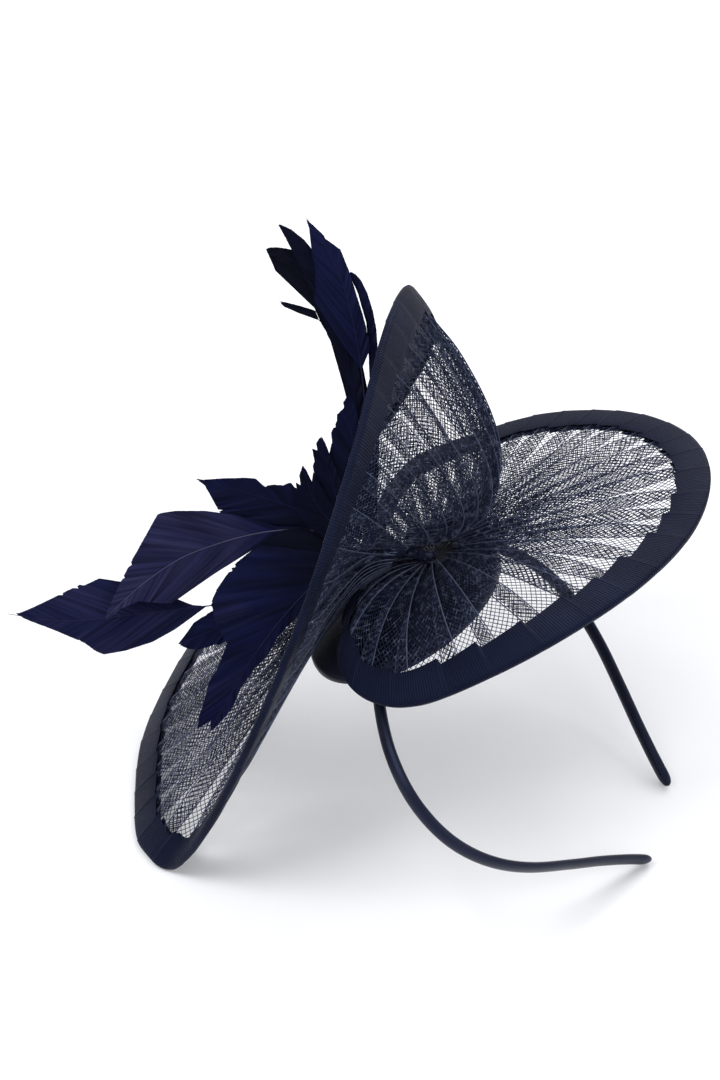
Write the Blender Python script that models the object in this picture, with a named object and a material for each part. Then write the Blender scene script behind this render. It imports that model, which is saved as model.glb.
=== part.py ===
"""Pleated net fascinator on a satin headband, modelled as it stands on a table.

Metres, +Z up.  The headband lies in a plane that leans towards +X, with its two
tips on the table and Y running from ear to ear.  A low disc of pleated net
spreads towards +X over a round base, a tall disc stands up at -X, and a spray
of feathers leaves the gather between them.  Every place below is counted from
the middle of the headband's crown.
"""

from math import cos, pi, radians, sin

import bmesh
import bpy
from mathutils import Euler, Matrix, Vector

# ---------------------------------------------------------------- driving sizes
CROWN = Vector((0.0131, -0.0185, 0.0776))  # where the crown stands over the table
GAP = 0.0003  # between pieces that touch on the real object

# Headband: half of its centre line, from the crown to one tip.
BAND_HALF_LENGTH = 0.199
BAND_RADII = (0.0915, 0.121, 0.0307, 0.372, -0.121)  # of the bend, at equal steps
BAND_STEP = 0.0068
BAND_WIDTH = 0.0047
BAND_THICKNESS = 0.0028
BAND_LEAN = radians(-53)
CORE_WIDTH = 0.0030
CORE_THICKNESS = 0.0010
WRAP_WALL = 0.0004
HINGE_AT = 0.052  # along the band from the crown, where an arm flexes
HINGE_GAP = 0.0006
CAP_LENGTH = 0.006

# Base: an oval dome, flat in the middle, tilted less than the band.
BASE_LEAN = radians(-27)
BASE_CENTRE = (0.005, 0.003)  # from the crown, along the base
BASE_RADII = (0.035, 0.042)
BASE_FLAT = 0.4  # share of the radius that is flat
BASE_DROP = 0.005
LINING_BOTTOM = 0.0021
LINING_THICKNESS = 0.0008
BASE_THICKNESS = 0.0012
COVER_THICKNESS = 0.0005

# Pleated discs.  Each rim is drawn by points: the low one from its front edge round
# by the right, the back and the left, the tall one from its top down its near side
# to the table and up its far side.
# belly is how far the net is drawn out between hub and rim: (mean, swing, towards, most)
# reach is how far out from the hub that happens: (mean, swing), and squeeze draws
# the net's two sides together: (share, direction).
LOW_DISC = {
    "rim": (
        (0.0345, -0.0526, 0.0089),
        (0.0625, -0.0413, 0.0246),
        (0.0877, -0.0110, 0.0326),
        (0.1010, 0.0250, 0.0345),
        (0.1015, 0.0600, 0.0348),
        (0.0895, 0.0905, 0.0303),
        (0.0655, 0.1095, 0.0242),
        (0.0335, 0.1160, 0.0148),
        (0.0060, 0.1075, 0.0060),
        (-0.0140, 0.0907, 0.0014),
        (-0.0205, 0.0640, -0.0030),
        (-0.0195, 0.0335, -0.0050),
        (-0.0150, 0.0012, 0.0000),
        (-0.0100, -0.0220, 0.0034),
        (-0.0065, -0.0395, 0.0052),
        (-0.0010, -0.0480, 0.0020),
        (0.0080, -0.0520, 0.0000),
        (0.0195, -0.0535, 0.0015),
    ),
    "turn": (0, -27, 0),
    "pleats": 20,
    "hub": Vector((0.0119, 0.0154, 0.0139)),
    "hub_radius": 0.0070,
    "reach": (0.60, 0.0),
    "belly": (0.0070, 0.0086, -72, 0.020),
    "squeeze": (0.0, (0.0, 1.0, 0.0)),
}
TALL_DISC = {
    "rim": (
        (-0.0066, 0.0447, 0.1025),
        (-0.0053, 0.0204, 0.1051),
        (-0.0044, -0.0011, 0.0995),
        (-0.0043, -0.0218, 0.0867),
        (-0.0070, -0.0404, 0.0672),
        (-0.0117, -0.0564, 0.0434),
        (-0.0196, -0.0679, 0.0165),
        (-0.0293, -0.0743, -0.0113),
        (-0.0400, -0.0758, -0.0386),
        (-0.0506, -0.0738, -0.0610),
        (-0.0606, -0.0697, -0.0755),
        (-0.0700, -0.0642, -0.0766),
        (-0.0790, -0.0515, -0.0766),
        (-0.0909, -0.0132, -0.0757),
        (-0.0931, 0.0166, -0.0734),
        (-0.0868, 0.0453, -0.0622),
        (-0.0734, 0.0663, -0.0452),
        (-0.0559, 0.0797, -0.0227),
        (-0.0390, 0.0880, 0.0007),
        (-0.0251, 0.0900, 0.0264),
        (-0.0156, 0.0865, 0.0512),
        (-0.0102, 0.0762, 0.0741),
        (-0.0076, 0.0606, 0.0918),
    ),
    "turn": (-30.2, -60.7, 41.4),
    "pleats": 24,
    "hub": Vector((0.0016, 0.0073, 0.0210)),
    "hub_radius": 0.0050,
    "reach": (0.46, 0.14),
    "belly": (0.0, -0.040, 19, 0.030),
    "squeeze": (0.30, (-0.212, 0.791, -0.574)),
    "hub_height_kept": True,
}
NET_THICKNESS = 0.0005
PLEAT_DEPTH = 0.0012
PLEAT_DEPTH_AT_RIM = 0.0001
PLEAT_DEPTH_AT_HUB = 0.0002
BINDING_WIDTH = 0.0135  # of the folded ribbon, on each face
BINDING_HALF_DEPTH = 0.0013
RIBBON_THICKNESS = 0.0005
NET_INSET = 0.0032  # from the fold of the binding to the net's cut edge
WIRE_INSET = 0.0019
WIRE_RADIUS = 0.00045

# Gather: the sewn post between the two discs, and the thread tied round it.
POST_FOOT = Vector((0.0113, 0.0144, 0.0136))
POST_HEAD = Vector((0.0045, 0.0094, 0.0188))
POST_RADIUS = 0.0026
TIE_RADIUS = 0.0006

# Feather spray: it fans out in a plane that faces the front left of the object,
# 15 degrees round from -Y and 35 degrees above the table.
SPRAY_ROOT = Vector((-0.0060, 0.0020, 0.0214))
SPRAY_TURN = (radians(-35), 0, radians(15))
FEATHER_THICKNESS = 0.0005
# name: (angle from +X in the plane, length, width, sideways bow, layer, lean forward)
FEATHERS = {
    "feather_top_long": (101.4, 0.119, 0.0170, -0.012, 3, 0.0),
    "feather_top_left": (106.0, 0.120, 0.0070, -0.009, 5, 0.0),
    "feather_top_black": (109.5, 0.114, 0.0130, -0.014, 7, 0.0),
    "feather_top_spike": (110.7, 0.094, 0.0030, -0.013, 6, 0.0),
    "feather_top_right": (94.7, 0.098, 0.0090, -0.009, 4, 0.0),
    "feather_hackle_high": (100.7, 0.055, 0.0060, 0.000, 2, 0.0),
    "feather_hackle_middle": (114.5, 0.045, 0.0070, 0.000, 1, 0.0),
    "feather_hackle_low": (130.0, 0.040, 0.0080, 0.000, 0, 0.0),
    "feather_side_upper": (157.7, 0.067, 0.0130, 0.003, 5, 0.0),
    "feather_side_broad": (193.3, 0.101, 0.0280, -0.009, 4, 0.0),
    "feather_side_long": (189.7, 0.131, 0.0230, 0.005, 6, 0.0),
    "feather_side_short": (205.0, 0.076, 0.0140, -0.002, 7, 0.0),
    "feather_low_broad": (225.0, 0.088, 0.0120, -0.010, 2, 0.0),
}
LAYER_STEP = 0.0010
LAYER_FAN = 0.020  # how far apart they spread, per layer and per metre of feather

NAVY_RIBBON = ((0.016, 0.020, 0.045), 0.55, 0.0)
NAVY_NET = ((0.030, 0.040, 0.085), 0.60, 0.0)
NAVY_SATIN = ((0.010, 0.012, 0.030), 0.30, 0.0)
NAVY_FEATHER = ((0.010, 0.012, 0.060), 0.50, 0.0)
BLACK_FELT = ((0.006, 0.007, 0.012), 0.95, 0.0)
BUCKRAM = ((0.020, 0.022, 0.035), 0.90, 0.0)
THREAD = ((0.012, 0.014, 0.035), 0.65, 0.0)
SPRING_STEEL = ((0.45, 0.46, 0.48), 0.35, 1.0)


# -------------------------------------------------------------------- building
def clear_scene():
    for obj in list(bpy.data.objects):
        bpy.data.objects.remove(obj)


def material(name, finish):
    colour, roughness, metallic = finish
    made = bpy.data.materials.get(name)
    if made is None:
        made = bpy.data.materials.new(name)
        made.use_nodes = True
        shader = made.node_tree.nodes["Principled BSDF"]
        shader.inputs["Base Color"].default_value = (*colour, 1)
        shader.inputs["Roughness"].default_value = roughness
        shader.inputs["Metallic"].default_value = metallic
    return made


def add_solid(name, finish, points, faces, pivot=Vector((0, 0, 0))):
    """One named object from crown-based points, with its origin at pivot."""
    mesh = bpy.data.meshes.new(name)
    mesh.from_pydata([p - pivot for p in points], [], faces)
    shell = bmesh.new()
    shell.from_mesh(mesh)
    bmesh.ops.recalc_face_normals(shell, faces=shell.faces)
    shell.to_mesh(mesh)
    shell.free()
    mesh.materials.append(material(name, finish))
    mesh.shade_smooth()
    mesh.set_sharp_from_angle(angle=radians(40))
    obj = bpy.data.objects.new(name, mesh)
    obj.location = CROWN + pivot
    bpy.context.scene.collection.objects.link(obj)


def loft(rings, around=False, stops=None):
    """Points and faces through a row of equal closed rings.  around joins the
    last ring to the first; otherwise flat caps close both ends.  In a thin
    shell, stops are the ring's distances across it: the faces on its two sides
    are then cut into triangles along the same diagonal, so they never cross."""
    count, size = len(rings), len(rings[0])
    points = [p for ring in rings for p in ring]
    faces = []
    for i in range(count if around else count - 1):
        j = (i + 1) % count
        for k in range(size):
            m = (k + 1) % size
            a, b, c, d = i * size + k, j * size + k, j * size + m, i * size + m
            if stops is None:
                faces.append((a, b, c, d))
            elif stops[m] > stops[k]:
                faces += [(a, b, c), (a, c, d)]
            else:
                faces += [(a, b, d), (b, c, d)]
    if not around:
        faces.append(tuple(range(size)))
        faces.append(tuple((count - 1) * size + k for k in reversed(range(size))))
    return points, faces


def hollow_loft(outer, inner):
    """A tube through outer rings with a bore through inner rings, open at both
    ends, as one ring-shaped section carried along the tube."""
    rows = len(outer)
    points = [p for ring in outer for p in ring] + [p for ring in inner for p in ring]
    size, start = len(outer[0]), len(outer[0]) * rows
    faces = []
    for i in range(rows - 1):
        for k in range(size):
            m = (k + 1) % size
            a, b = i * size + k, (i + 1) * size + k
            c, d = (i + 1) * size + m, i * size + m
            faces.append((a, b, c, d))
            faces.append((start + d, start + c, start + b, start + a))
    last = (rows - 1) * size
    for k in range(size):
        m = (k + 1) % size
        faces.append((k, m, start + m, start + k))
        faces.append((last + m, last + k, start + last + k, start + last + m))
    return points, faces


def oval(centre, across, up, half_width, half_height, sides):
    return [
        centre
        + across * (half_width * cos(2 * pi * k / sides))
        + up * (half_height * sin(2 * pi * k / sides))
        for k in range(sides)
    ]


# -------------------------------------------------------------------- headband
def band_turned(vector):
    return Matrix.Rotation(BAND_LEAN, 3, "Y") @ vector


def band_bend(share):
    """Curvature at a share of the way from the crown to the tip."""
    place = share * (len(BAND_RADII) - 1)
    low = min(int(place), len(BAND_RADII) - 2)
    mix = place - low
    return (1 - mix) / BAND_RADII[low] + mix / BAND_RADII[low + 1]


def band_half():
    """(distance, sideways, down, direction angle) down one half of the band."""
    steps = 400
    ds = BAND_HALF_LENGTH / steps
    angle, y, z = 0.0, 0.0, 0.0
    row = [(0.0, 0.0, 0.0, 0.0)]
    for i in range(steps):
        turn = band_bend((i + 0.5) / steps) * ds
        y += cos(angle + turn / 2) * ds
        z -= sin(angle + turn / 2) * ds
        angle += turn
        row.append(((i + 1) * ds, y, z, angle))
    return row


BAND_ROW = band_half()


def band_place(distance):
    """Centre, tangent, outward normal and width direction of the band, at a
    signed distance from the crown: positive towards +Y."""
    side = 1 if distance >= 0 else -1
    share = abs(distance) / BAND_HALF_LENGTH * (len(BAND_ROW) - 1)
    low = min(int(share), len(BAND_ROW) - 2)
    mix = share - low
    _, y, z, angle = (
        (1 - mix) * a + mix * b for a, b in zip(BAND_ROW[low], BAND_ROW[low + 1])
    )
    centre = band_turned(Vector((0, side * y, z)))
    tangent = band_turned(Vector((0, cos(angle), -side * sin(angle))))
    outward = band_turned(Vector((0, side * sin(angle), cos(angle))))
    across = band_turned(Vector((1, 0, 0)))
    return centre, tangent, outward, across


def band_stops(start, end):
    count = max(2, round(abs(end - start) / BAND_STEP) + 1)
    return [start + (end - start) * i / (count - 1) for i in range(count)]


def band_rings(start, end, width, thickness, sides):
    rings = []
    for distance in band_stops(start, end):
        centre, _, outward, across = band_place(distance)
        rings.append(oval(centre, across, outward, width / 2, thickness / 2, sides))
    return rings


def make_headband():
    wrap_end = BAND_HALF_LENGTH - CAP_LENGTH
    half_gap = HINGE_GAP / 2
    runs = {
        "crown": (-HINGE_AT + half_gap, HINGE_AT - half_gap, 0),
        "right_arm": (-wrap_end, -HINGE_AT - half_gap, -HINGE_AT),
        "left_arm": (HINGE_AT + half_gap, wrap_end, HINGE_AT),
    }
    for name, (start, end, hinge) in runs.items():
        pivot = band_place(hinge)[0] if hinge else Vector()
        core = band_rings(start, end, CORE_WIDTH, CORE_THICKNESS, 6)
        add_solid("headband_core_" + name, SPRING_STEEL, *loft(core), pivot)
        outer = band_rings(start, end, BAND_WIDTH, BAND_THICKNESS, 8)
        wall = 2 * WRAP_WALL
        inner = band_rings(start, end, BAND_WIDTH - wall, BAND_THICKNESS - wall, 8)
        add_solid(
            "satin_wrap_" + name, NAVY_SATIN, *hollow_loft(outer, inner), pivot
        )
    for name, side in (("right", -1), ("left", 1)):
        rings = []
        for step, size in ((0.05, 1.0), (0.5, 1.0), (0.8, 0.86), (0.95, 0.6), (1.0, 0.3)):
            distance = side * (wrap_end + step * CAP_LENGTH)
            centre, _, outward, across = band_place(distance)
            half_width, half_height = BAND_WIDTH / 2 * size, BAND_THICKNESS / 2 * size
            rings.append(oval(centre, across, outward, half_width, half_height, 8))
        if side < 0:
            rings.reverse()
        pivot = band_place(side * HINGE_AT)[0]
        add_solid("tip_cap_" + name, NAVY_SATIN, *loft(rings), pivot)


# ------------------------------------------------------------------------ base
def base_point(x, y, z):
    """A point given from the crown along the base's own X, Y and normal."""
    return Matrix.Rotation(BASE_LEAN, 3, "Y") @ Vector((x, y, z))


def dome_drop(share):
    return BASE_DROP * max(0.0, (share - BASE_FLAT) / (1 - BASE_FLAT)) ** 2


def dome_ring(share, height, sides=26):
    """One oval ring of the dome, at a share of its radii."""
    ring = []
    for k in range(sides):
        angle = 2 * pi * k / sides
        x = BASE_CENTRE[0] + BASE_RADII[0] * share * cos(angle)
        y = BASE_CENTRE[1] + BASE_RADII[1] * share * sin(angle)
        ring.append(base_point(x, y, height - dome_drop(share)))
    return ring


def dome_plate(bottom, thickness, share):
    """A domed plate out to a share of the base's radii."""
    below = [dome_ring(s * share, bottom) for s in (0.4, 0.7, 0.9, 1.0)]
    above = [dome_ring(s * share, bottom + thickness) for s in (1.0, 0.9, 0.7, 0.4)]
    return loft(below + above)


def make_base():
    lining_top = LINING_BOTTOM + LINING_THICKNESS
    base_bottom = lining_top + GAP
    base_top = base_bottom + BASE_THICKNESS
    cover_bottom = base_top + GAP
    cover_top = cover_bottom + COVER_THICKNESS
    lining = dome_plate(LINING_BOTTOM, LINING_THICKNESS, 0.98)
    add_solid("base_lining", BLACK_FELT, *lining)
    disc = dome_plate(base_bottom, BASE_THICKNESS, 1.0)
    add_solid("base_disc", BUCKRAM, *disc)
    # The cover is stretched over the disc and turned down round its edge.
    skirt = dome_drop(1.0) + 0.0006
    cover = [dome_ring(s, cover_bottom) for s in (0.4, 0.7, 0.9, 1.01)]
    cover.append([p - base_point(0, 0, 1) * skirt * 0.3 for p in dome_ring(1.01, cover_bottom)])
    cover.append([p - base_point(0, 0, 1) * skirt * 0.3 for p in dome_ring(1.025, cover_bottom)])
    cover += [dome_ring(s, cover_top) for s in (1.025, 1.0, 0.9, 0.7, 0.4)]
    add_solid("base_cover", NAVY_SATIN, *loft(cover))


def make_stitches():
    """Four thread loops that hold the band up to the lining."""
    for i, distance in enumerate((-0.012, -0.004, 0.004, 0.012)):
        centre = band_place(distance)[0]
        base_x = base_point(1, 0, 0)
        base_up = base_point(0, 0, 1)
        low = centre.dot(base_up)
        legs = LINING_BOTTOM - GAP - TIE_RADIUS / 2
        path = [(0.0031, legs)]
        path += [
            (0.0031 * cos(pi * k / 6), low - 0.0026 * sin(pi * k / 6)) for k in range(7)
        ]
        path.append((-0.0031, legs))
        line = [
            centre + base_x * u + base_up * (v - low) for u, v in path
        ]
        name = "stitch_" + str(i + 1)
        add_solid(name, THREAD, *loft(tube_rings(line, 0.0003, 5, Vector((0, 1, 0)))))


def tube_rings(line, radius, sides, flat, closed=False):
    """Round rings along a line of points.  flat is a direction off the line."""
    rings = []
    last = len(line) - 1
    for i, point in enumerate(line):
        if closed:
            ahead, behind = line[(i + 1) % len(line)], line[i - 1]
        else:
            ahead, behind = line[min(i + 1, last)], line[max(i - 1, 0)]
        tangent = (ahead - behind).normalized()
        across = tangent.cross(flat).normalized()
        up = across.cross(tangent).normalized()
        rings.append(oval(point, across, up, radius, radius, sides))
    return rings


# ----------------------------------------------------------------- pleated discs
def turned(disc, vector):
    return Euler([radians(a) for a in disc["turn"]]).to_matrix() @ vector


def spline(points, place):
    """A point on the closed smooth curve through points, at place in 0..1."""
    count = len(points)
    step = place * count
    low = int(step)
    mix = step - int(step)
    a, b, c, d = (Vector(points[(low + k) % count]) for k in (-1, 0, 1, 2))
    return 0.5 * (
        2 * b
        + (c - a) * mix
        + (2 * a - 5 * b + 4 * c - d) * mix**2
        + (3 * b - a - 3 * c + d) * mix**3
    )


def rim_points(disc, count):
    """count points round the rim, evenly spaced along it."""
    fine = [spline(disc["rim"], i / 720) for i in range(721)]
    run = [0.0]
    for a, b in zip(fine, fine[1:]):
        run.append(run[-1] + (b - a).length)
    points, at = [], 0
    for i in range(count):
        want = run[-1] * i / count
        while run[at + 1] < want:
            at += 1
        mix = (want - run[at]) / (run[at + 1] - run[at])
        points.append(fine[at].lerp(fine[at + 1], mix))
    return points


def spoke(disc, rim):
    """The fine line of the net's middle surface from the rim in to the hub."""
    hub = disc["hub"]
    inward = turned(disc, Vector((0, 0, 1)))
    away = rim - hub
    flat = away - inward * away.dot(inward)
    x_axis = turned(disc, Vector((1, 0, 0)))
    y_axis = turned(disc, Vector((0, 1, 0)))
    mean, swing, towards, most = disc["belly"]
    direction = radians(towards)
    flat_unit = flat.normalized()
    lean = flat_unit.dot(x_axis) * cos(direction) + flat_unit.dot(y_axis) * sin(direction)
    reach = disc["reach"][0] + disc["reach"][1] * lean
    start = hub + flat_unit * disc["hub_radius"]
    middle = hub + flat * reach + inward * min(mean + swing * lean, most)
    if not disc.get("hub_height_kept"):
        middle += inward * away.dot(inward) * reach
    share, direction = disc["squeeze"]
    middle -= Vector(direction) * away.dot(Vector(direction)) * share
    line = []
    for i in range(61):
        u = 1 - i / 60
        line.append(start * (1 - u) ** 2 + middle * 2 * u * (1 - u) + rim * u * u)
    return line


def along(line, distance):
    """The point at a distance down a line of points, or before its start."""
    if distance < 0:
        return line[0] + (line[0] - line[1]).normalized() * -distance
    for a, b in zip(line, line[1:]):
        step = (b - a).length
        if distance <= step:
            return a.lerp(b, distance / step)
        distance -= step
    return line[-1]


def length_of(line):
    return sum((b - a).length for a, b in zip(line, line[1:]))


class DiscSurface:
    """The smooth middle surface of one disc, sampled two to a pleat."""

    def __init__(self, disc):
        self.count = 2 * disc["pleats"]
        self.up = turned(disc, Vector((0, 0, 1)))
        self.spokes = [spoke(disc, p) for p in rim_points(disc, self.count)]
        self.lengths = [length_of(line) for line in self.spokes]
        self.sense = 1
        lean = sum(self.normal(k, 0.02).dot(self.up) for k in range(self.count))
        self.sense = 1 if lean > 0 else -1

    def point(self, index, distance):
        return along(self.spokes[index % self.count], distance)

    def normal(self, index, distance):
        side = self.point(index + 1, distance) - self.point(index - 1, distance)
        inner = self.point(index, distance + 0.001) - self.point(index, distance - 0.001)
        return side.cross(inner).normalized() * self.sense

    def lifted(self, index, distance, height):
        return self.point(index, distance) + self.normal(index, distance) * height


def net_solid(surface):
    """The pleated net: its folds grow from nothing under the binding."""
    half = NET_THICKNESS / 2
    over, under = [], []
    for k in range(surface.count):
        end = surface.lengths[k] - 0.0001
        stops = [(NET_INSET, PLEAT_DEPTH_AT_RIM), (BINDING_WIDTH, PLEAT_DEPTH_AT_RIM)]
        for share, depth in ((0.12, 0.7), (0.3, 1.0), (0.5, 1.0), (0.7, 0.7), (0.87, 0.3)):
            stops.append((BINDING_WIDTH + (end - BINDING_WIDTH) * share, PLEAT_DEPTH * depth))
        stops.append((end, PLEAT_DEPTH_AT_HUB))
        side = 1 if k % 2 else -1
        over.append([surface.lifted(k, r, side * d + half) for r, d in stops])
        under.append([surface.lifted(k, r, side * d - half) for r, d in stops])
    rings = [a + b[::-1] for a, b in zip(over, under)]
    order = list(range(len(over[0])))
    return loft(rings, around=True, stops=order + order[::-1])


def binding_solid(surface):
    """The folded ribbon over the rim, as a U closed at the fold."""
    deep = BINDING_HALF_DEPTH
    slot = deep - RIBBON_THICKNESS
    wide = BINDING_WIDTH
    outer = [(wide, deep), (0.0032, deep), (0.0008, deep), (-0.0004, deep * 0.5)]
    inner = [(0.0008, slot * 0.8), (0.0032, slot), (wide, slot)]
    profile = outer + [(r, -h) for r, h in reversed(outer)]
    profile += [(r, -h) for r, h in reversed(inner)] + inner
    rings = []
    for k in range(surface.count):
        rings.append([surface.lifted(k, r, h) for r, h in profile])
    return loft(rings, around=True, stops=[r for r, _ in profile])


def wire_solid(surface):
    rings = []
    for k in range(surface.count):
        ring = []
        for side in range(4):
            angle = 2 * pi * side / 4
            distance = WIRE_INSET + WIRE_RADIUS * cos(angle)
            ring.append(surface.lifted(k, distance, WIRE_RADIUS * sin(angle)))
        rings.append(ring)
    return loft(rings, around=True)


def make_disc(name, disc):
    surface = DiscSurface(disc)
    add_solid(name + "_net", NAVY_NET, *net_solid(surface))
    add_solid(name + "_binding", NAVY_RIBBON, *binding_solid(surface))
    add_solid(name + "_edge_wire", SPRING_STEEL, *wire_solid(surface))


# ------------------------------------------------------------- gather and spray
def make_gather():
    axis = POST_HEAD - POST_FOOT
    flat = Vector((0, 1, 0))
    steps = ((0.0, 0.9), (0.25, 0.8), (0.5, 0.62), (0.75, 0.8), (1.0, 0.9))
    across = axis.cross(flat).normalized()
    along_y = axis.cross(across).normalized()
    rings = []
    for share, size in steps:
        radius = POST_RADIUS * size
        rings.append(oval(POST_FOOT + axis * share, across, along_y, radius, radius, 12))
    add_solid("gather_post", NAVY_NET, *loft(rings))
    ring = POST_RADIUS * 0.62 + TIE_RADIUS + GAP
    loop = oval(POST_FOOT + axis * 0.5, across, along_y, ring, ring, 16)
    tie = tube_rings(loop, TIE_RADIUS, 6, axis.normalized(), closed=True)
    add_solid("gather_tie", THREAD, *loft(tie, around=True))


def spray_point(x, depth, z):
    """A point given in the spray's own plane: right, away from the front, up."""
    return SPRAY_ROOT + Euler(SPRAY_TURN).to_matrix() @ Vector((x, depth, z))


def make_feather(name, angle, length, width, bow, layer, forward):
    """A flat vane with a raised shaft, bare at its quill."""
    heading = radians(angle)
    outline = (
        (0.0, 0.0010),
        (0.10, 0.0012),
        (0.22, 0.35),
        (0.38, 0.80),
        (0.55, 1.0),
        (0.72, 0.92),
        (0.87, 0.62),
        (0.96, 0.30),
        (1.0, 0.06),
    )
    rings = []
    for share, size in outline:
        half = size / 2 if size < 0.01 else size * width / 2
        run = 0.0022 + share * (length - 0.0022)
        sideways = bow * 4 * share * (1 - share)
        turn = bow * 4 * (1 - 2 * share) / length
        x = run * cos(heading) - sideways * sin(heading)
        z = run * sin(heading) + sideways * cos(heading)
        depth = (layer - 3.5) * (LAYER_STEP + LAYER_FAN * run) - forward * run
        u = -sin(heading + turn)
        v = cos(heading + turn)
        edge, shaft = 0.00012, 0.00045 * (1 - 0.6 * share)
        ring = []
        for across, lift in (
            (-half, -edge),
            (0, -shaft),
            (half, -edge),
            (half, edge),
            (0, shaft),
            (-half, edge),
        ):
            ring.append(spray_point(x + across * u, depth + lift, z + across * v))
        rings.append(ring)
    add_solid(name, NAVY_FEATHER, *loft(rings))


def make_spray():
    for name, shape in FEATHERS.items():
        make_feather(name, *shape)
    # Their quills are wrapped together and sewn to the head of the post.
    start = POST_HEAD + (POST_HEAD - POST_FOOT).normalized() * 0.0018
    end = spray_point(0.0022, 0.0, 0.0)
    across = spray_point(0, 1, 0) - spray_point(0, 0, 0)
    up = spray_point(0, 0, 1) - spray_point(0, 0, 0)
    rings = []
    for share, wide, high in ((0.0, 0.0022, 0.0018), (0.4, 0.0028, 0.0022), (1.0, 0.0042, 0.0018)):
        rings.append(oval(start.lerp(end, share), across, up, wide, high, 12))
    add_solid("feather_wrap", THREAD, *loft(rings))


def main():
    clear_scene()
    make_headband()
    make_base()
    make_stitches()
    make_disc("low_disc", LOW_DISC)
    make_disc("tall_disc", TALL_DISC)
    make_gather()
    make_spray()


main()
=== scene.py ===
"""Looks of the pleated net fascinator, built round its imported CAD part.

Metres, in the row frame.  The two discs are rebuilt as open nets of real
threads, knife pleated from rim to hub inside folded ribbon borders; each
feather as a shaft between two curved vanes; the headband as two strips of
satin wrapped round its core.
"""

import bpy
import numpy as np
from mathutils import Euler, Matrix, Vector


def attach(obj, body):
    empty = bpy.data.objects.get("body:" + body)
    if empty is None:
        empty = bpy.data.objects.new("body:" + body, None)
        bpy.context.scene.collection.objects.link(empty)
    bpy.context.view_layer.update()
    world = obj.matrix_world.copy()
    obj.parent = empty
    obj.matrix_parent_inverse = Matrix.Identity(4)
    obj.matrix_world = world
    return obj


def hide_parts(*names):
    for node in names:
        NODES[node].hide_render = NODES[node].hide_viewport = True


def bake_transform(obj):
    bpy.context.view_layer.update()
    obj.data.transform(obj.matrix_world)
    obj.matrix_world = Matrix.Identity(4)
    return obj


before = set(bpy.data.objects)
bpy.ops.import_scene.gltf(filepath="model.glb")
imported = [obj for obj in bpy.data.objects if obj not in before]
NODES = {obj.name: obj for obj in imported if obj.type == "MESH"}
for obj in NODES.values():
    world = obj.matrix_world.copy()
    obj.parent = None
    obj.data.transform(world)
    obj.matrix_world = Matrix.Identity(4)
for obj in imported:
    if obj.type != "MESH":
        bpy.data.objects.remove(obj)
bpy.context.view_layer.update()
RANDOM = np.random.default_rng(11)

# ------------------------------------------------------------- camera and light
CAMERA_SENSOR = (24, 36)
CAMERA_LENS = 80.95
CAMERA_CLIP_START = 0.02
CAMERA_RIGHT = (0.9659, 0.2588, 0.0)
CAMERA_UP = (-0.1485, 0.5540, 0.8192)
CAMERA_BACK = (0.2120, -0.7912, 0.5736)
CAMERA_PLACE = (0.1803, -0.6805, 0.5846)
LIGHT_AIM = Vector((0, 0, 0.08))
STUDIO_COLOUR = (0.97, 0.98, 1.0, 1)
STUDIO_STRENGTH = 0.75


def new_object(name, data):
    made = bpy.data.objects.new(name, data)
    bpy.context.scene.collection.objects.link(made)
    return made


def photo_camera():
    data = bpy.data.cameras.new("camera")
    data.sensor_fit = "VERTICAL"
    data.sensor_width, data.sensor_height = CAMERA_SENSOR
    data.lens = CAMERA_LENS
    data.clip_start = CAMERA_CLIP_START
    camera = new_object("camera", data)
    axes = [(*axis, 0) for axis in (CAMERA_RIGHT, CAMERA_UP, CAMERA_BACK)]
    camera.matrix_world = Matrix([*axes, (*CAMERA_PLACE, 1)]).transposed()
    return camera


def area_light(name, place, size, power):
    data = bpy.data.lights.new(name, "AREA")
    data.shape, data.size, data.energy = "SQUARE", size, power
    light = new_object(name, data)
    light.location = place
    light.rotation_euler = (Vector(place) - LIGHT_AIM).to_track_quat("Z", "Y").to_euler()


def studio_world():
    world = bpy.data.worlds.new("studio")
    world.use_nodes = True
    background = world.node_tree.nodes["Background"]
    background.inputs["Color"].default_value = STUDIO_COLOUR
    background.inputs["Strength"].default_value = STUDIO_STRENGTH
    return world


bpy.context.scene.camera = photo_camera()
area_light("key", place=(-0.55, -0.45, 1.10), size=0.6, power=9.0)
area_light("fill", place=(0.9, -0.5, 0.7), size=0.8, power=5.0)
area_light("rim", place=(0.2, 0.9, 0.9), size=0.7, power=6.0)
bpy.context.scene.world = studio_world()
bpy.context.scene.view_settings.view_transform = "Standard"

# ------------------------------------------------------------------- materials
NAVY_GLOSS = (0.45, 0.55, 1.0, 1.0)
MATT = {"Sheen_Weight": 0.01, "Specular_IOR_Level": 0.10}
SOFT_SHEEN = 0.4


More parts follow.
